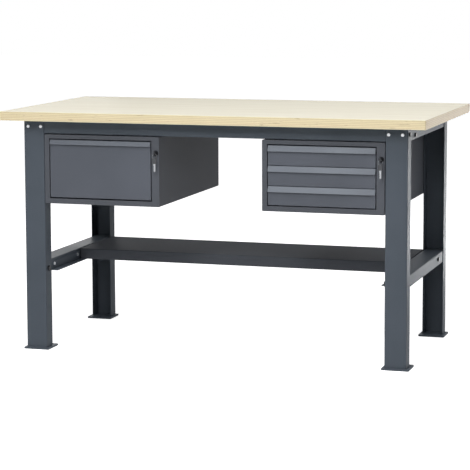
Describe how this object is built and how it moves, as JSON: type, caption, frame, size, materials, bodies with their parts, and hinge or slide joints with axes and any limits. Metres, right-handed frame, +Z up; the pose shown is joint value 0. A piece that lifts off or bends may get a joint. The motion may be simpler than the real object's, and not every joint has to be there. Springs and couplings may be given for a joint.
{
  "type": "workbench with drawer cabinets",
  "caption": "Steel-framed workbench with a thick plywood top, lockable hanging drawer cabinets on telescopic slides and a half-depth lower shelf.",
  "frame": {"origin": "on the floor, under the middle of the worktop", "axes": "+X along the worktop to the right as seen from the drawer side, +Y from the drawer side to the back, +Z up"},
  "size_m": [1.5, 0.8, 0.84],
  "materials": {
    "worktop": "lacquered plywood",
    "frame_paint": "satin powder coat on folded steel",
    "shelf_paint": "satin powder coat on folded steel",
    "cabinet_paint": "satin powder coat on folded steel",
    "drawer_paint": "satin powder coat on folded steel",
    "drawer_box_paint": "satin powder coat on folded steel",
    "slide_steel": "zinc plated",
    "zinc_fasteners": "zinc plated",
    "dark_fasteners": "blackened steel",
    "lock_metal": "dark plated zinc casting",
    "keys": "nickel plated blade with a black plastic bow",
    "key_ring": "spring steel"
  },
  "bodies": {
    "bench": {"worktop": "worktop", "front_left_leg": "frame_paint", "front_right_leg": "frame_paint", "rear_left_leg": "frame_paint", "rear_right_leg": "frame_paint", "front_left_foot": "frame_paint", "front_right_foot": "frame_paint", "rear_left_foot": "frame_paint", "rear_right_foot": "frame_paint", "front_rail": "frame_paint", "rear_rail": "frame_paint", "left_top_rail": "frame_paint", "right_top_rail": "frame_paint", "left_lower_rail": "frame_paint", "right_lower_rail": "frame_paint", "left_shelf_angle": "frame_paint", "right_shelf_angle": "frame_paint", "lower_shelf": "shelf_paint", "left_cabinet_wrap": "cabinet_paint", "left_cabinet_front": "cabinet_paint", "left_cabinet_back": "cabinet_paint", "left_cabinet_liners": "cabinet_paint", "right_cabinet_wrap": "cabinet_paint", "right_cabinet_front": "cabinet_paint", "right_cabinet_back": "cabinet_paint", "right_cabinet_liners": "cabinet_paint", "left_cabinet_slides": "slide_steel", "right_cabinet_slides": "slide_steel", "lock_barrels": "lock_metal", "zinc_bolts": "zinc_fasteners", "dark_bolts": "dark_fasteners", "nuts": "zinc_fasteners", "cabinet_spacers": "dark_fasteners", "worktop_screws": "zinc_fasteners"},
    "left_drawer": {"left_drawer_front": "drawer_paint", "left_drawer_box": "drawer_box_paint", "left_drawer_slides": "slide_steel"},
    "left_middle": {"left_middle_slides": "slide_steel"},
    "upper_drawer": {"upper_drawer_front": "drawer_paint", "upper_drawer_box": "drawer_box_paint", "upper_drawer_slides": "slide_steel"},
    "upper_middle": {"upper_middle_slides": "slide_steel"},
    "centre_drawer": {"centre_drawer_front": "drawer_paint", "centre_drawer_box": "drawer_box_paint", "centre_drawer_slides": "slide_steel"},
    "centre_middle": {"centre_middle_slides": "slide_steel"},
    "lower_drawer": {"lower_drawer_front": "drawer_paint", "lower_drawer_box": "drawer_box_paint", "lower_drawer_slides": "slide_steel"},
    "lower_middle": {"lower_middle_slides": "slide_steel"},
    "left_lock": {"left_lock_plug": "lock_metal", "left_lock_cam": "lock_metal", "left_key": "keys", "left_key_ring": "key_ring"},
    "left_spare": {"left_spare_key": "keys"},
    "right_lock": {"right_lock_plug": "lock_metal", "right_lock_cam": "lock_metal", "right_key": "keys", "right_key_ring": "key_ring"},
    "right_spare": {"right_spare_key": "keys"}
  },
  "joints": [
    {"name": "left_drawer_travel", "type": "slide", "parent": "bench", "child": "left_drawer", "axis": [0, -1, 0], "range_m": [0, 0.5]},
    {"name": "left_middle_travel", "type": "slide", "parent": "bench", "child": "left_middle", "axis": [0, -1, 0], "range_m": [0, 0.25]},
    {"name": "upper_drawer_travel", "type": "slide", "parent": "bench", "child": "upper_drawer", "axis": [0, -1, 0], "range_m": [0, 0.5]},
    {"name": "upper_middle_travel", "type": "slide", "parent": "bench", "child": "upper_middle", "axis": [0, -1, 0], "range_m": [0, 0.25]},
    {"name": "centre_drawer_travel", "type": "slide", "parent": "bench", "child": "centre_drawer", "axis": [0, -1, 0], "range_m": [0, 0.5]},
    {"name": "centre_middle_travel", "type": "slide", "parent": "bench", "child": "centre_middle", "axis": [0, -1, 0], "range_m": [0, 0.25]},
    {"name": "lower_drawer_travel", "type": "slide", "parent": "bench", "child": "lower_drawer", "axis": [0, -1, 0], "range_m": [0, 0.5]},
    {"name": "lower_middle_travel", "type": "slide", "parent": "bench", "child": "lower_middle", "axis": [0, -1, 0], "range_m": [0, 0.25]},
    {"name": "left_lock_turn", "type": "hinge", "parent": "bench", "child": "left_lock", "pos_m": [-0.1945, -0.35, 0.7045], "axis": [0, -1, 0], "range_deg": [0, 90]},
    {"name": "left_spare_swing", "type": "hinge", "parent": "left_lock", "child": "left_spare", "pos_m": [-0.1945, -0.365, 0.6863], "axis": [0, -1, 0], "range_deg": [-90, 0]},
    {"name": "right_lock_turn", "type": "hinge", "parent": "bench", "child": "right_lock", "pos_m": [0.5925, -0.35, 0.7045], "axis": [0, -1, 0], "range_deg": [0, 90]},
    {"name": "right_spare_swing", "type": "hinge", "parent": "right_lock", "child": "right_spare", "pos_m": [0.5925, -0.365, 0.6863], "axis": [0, -1, 0], "range_deg": [-90, 0]}
  ],
  "couplings": [
    {"joint": "left_middle_travel", "follows": "left_drawer_travel", "ratio": 0.5},
    {"joint": "upper_middle_travel", "follows": "upper_drawer_travel", "ratio": 0.5},
    {"joint": "centre_middle_travel", "follows": "centre_drawer_travel", "ratio": 0.5},
    {"joint": "lower_middle_travel", "follows": "lower_drawer_travel", "ratio": 0.5},
    {"joint": "left_spare_swing", "follows": "left_lock_turn", "ratio": -1},
    {"joint": "right_spare_swing", "follows": "right_lock_turn", "ratio": -1}
  ]
}
